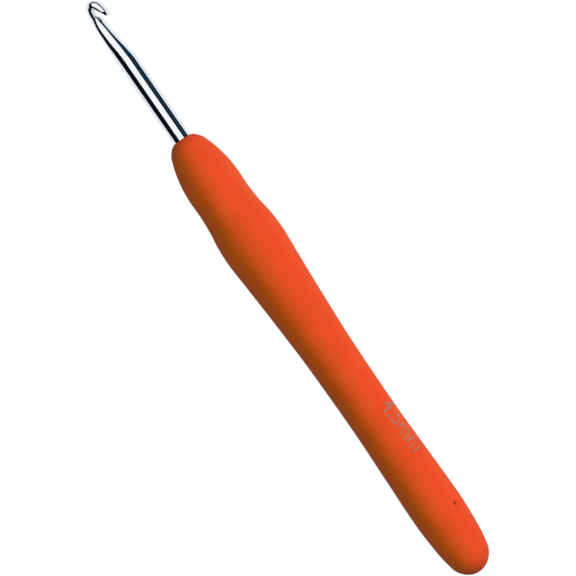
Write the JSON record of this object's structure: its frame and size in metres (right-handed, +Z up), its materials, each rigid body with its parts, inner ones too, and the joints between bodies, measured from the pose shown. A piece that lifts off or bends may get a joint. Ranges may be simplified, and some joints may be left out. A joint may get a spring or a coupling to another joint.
{
  "type": "crochet hook",
  "caption": "Crochet hook with a polished metal hook, tapered neck and round shaft moulded into a long, soft oval grip with a thumb rest, a palm swell and a rounded end.",
  "frame": {"origin": "the middle of the hook's bounding box in X and Y, on the table that it lies on", "axes": "+X runs from the hook's tip to the end of the handle, along the shaft; +Z is up and is the handle's front, with the thumb rest; +Y completes the right-handed frame"},
  "size_m": [0.1568, 0.016, 0.014],
  "materials": {
    "hook_metal": "polished bright aluminium",
    "core_plastic": "rigid moulded plastic, hidden inside the grip",
    "grip_rubber": "matte orange thermoplastic rubber"
  },
  "bodies": {
    "root": {"hook_shaft": "hook_metal", "handle_core": "core_plastic", "grip_sleeve": "grip_rubber"}
  },
  "joints": []
}
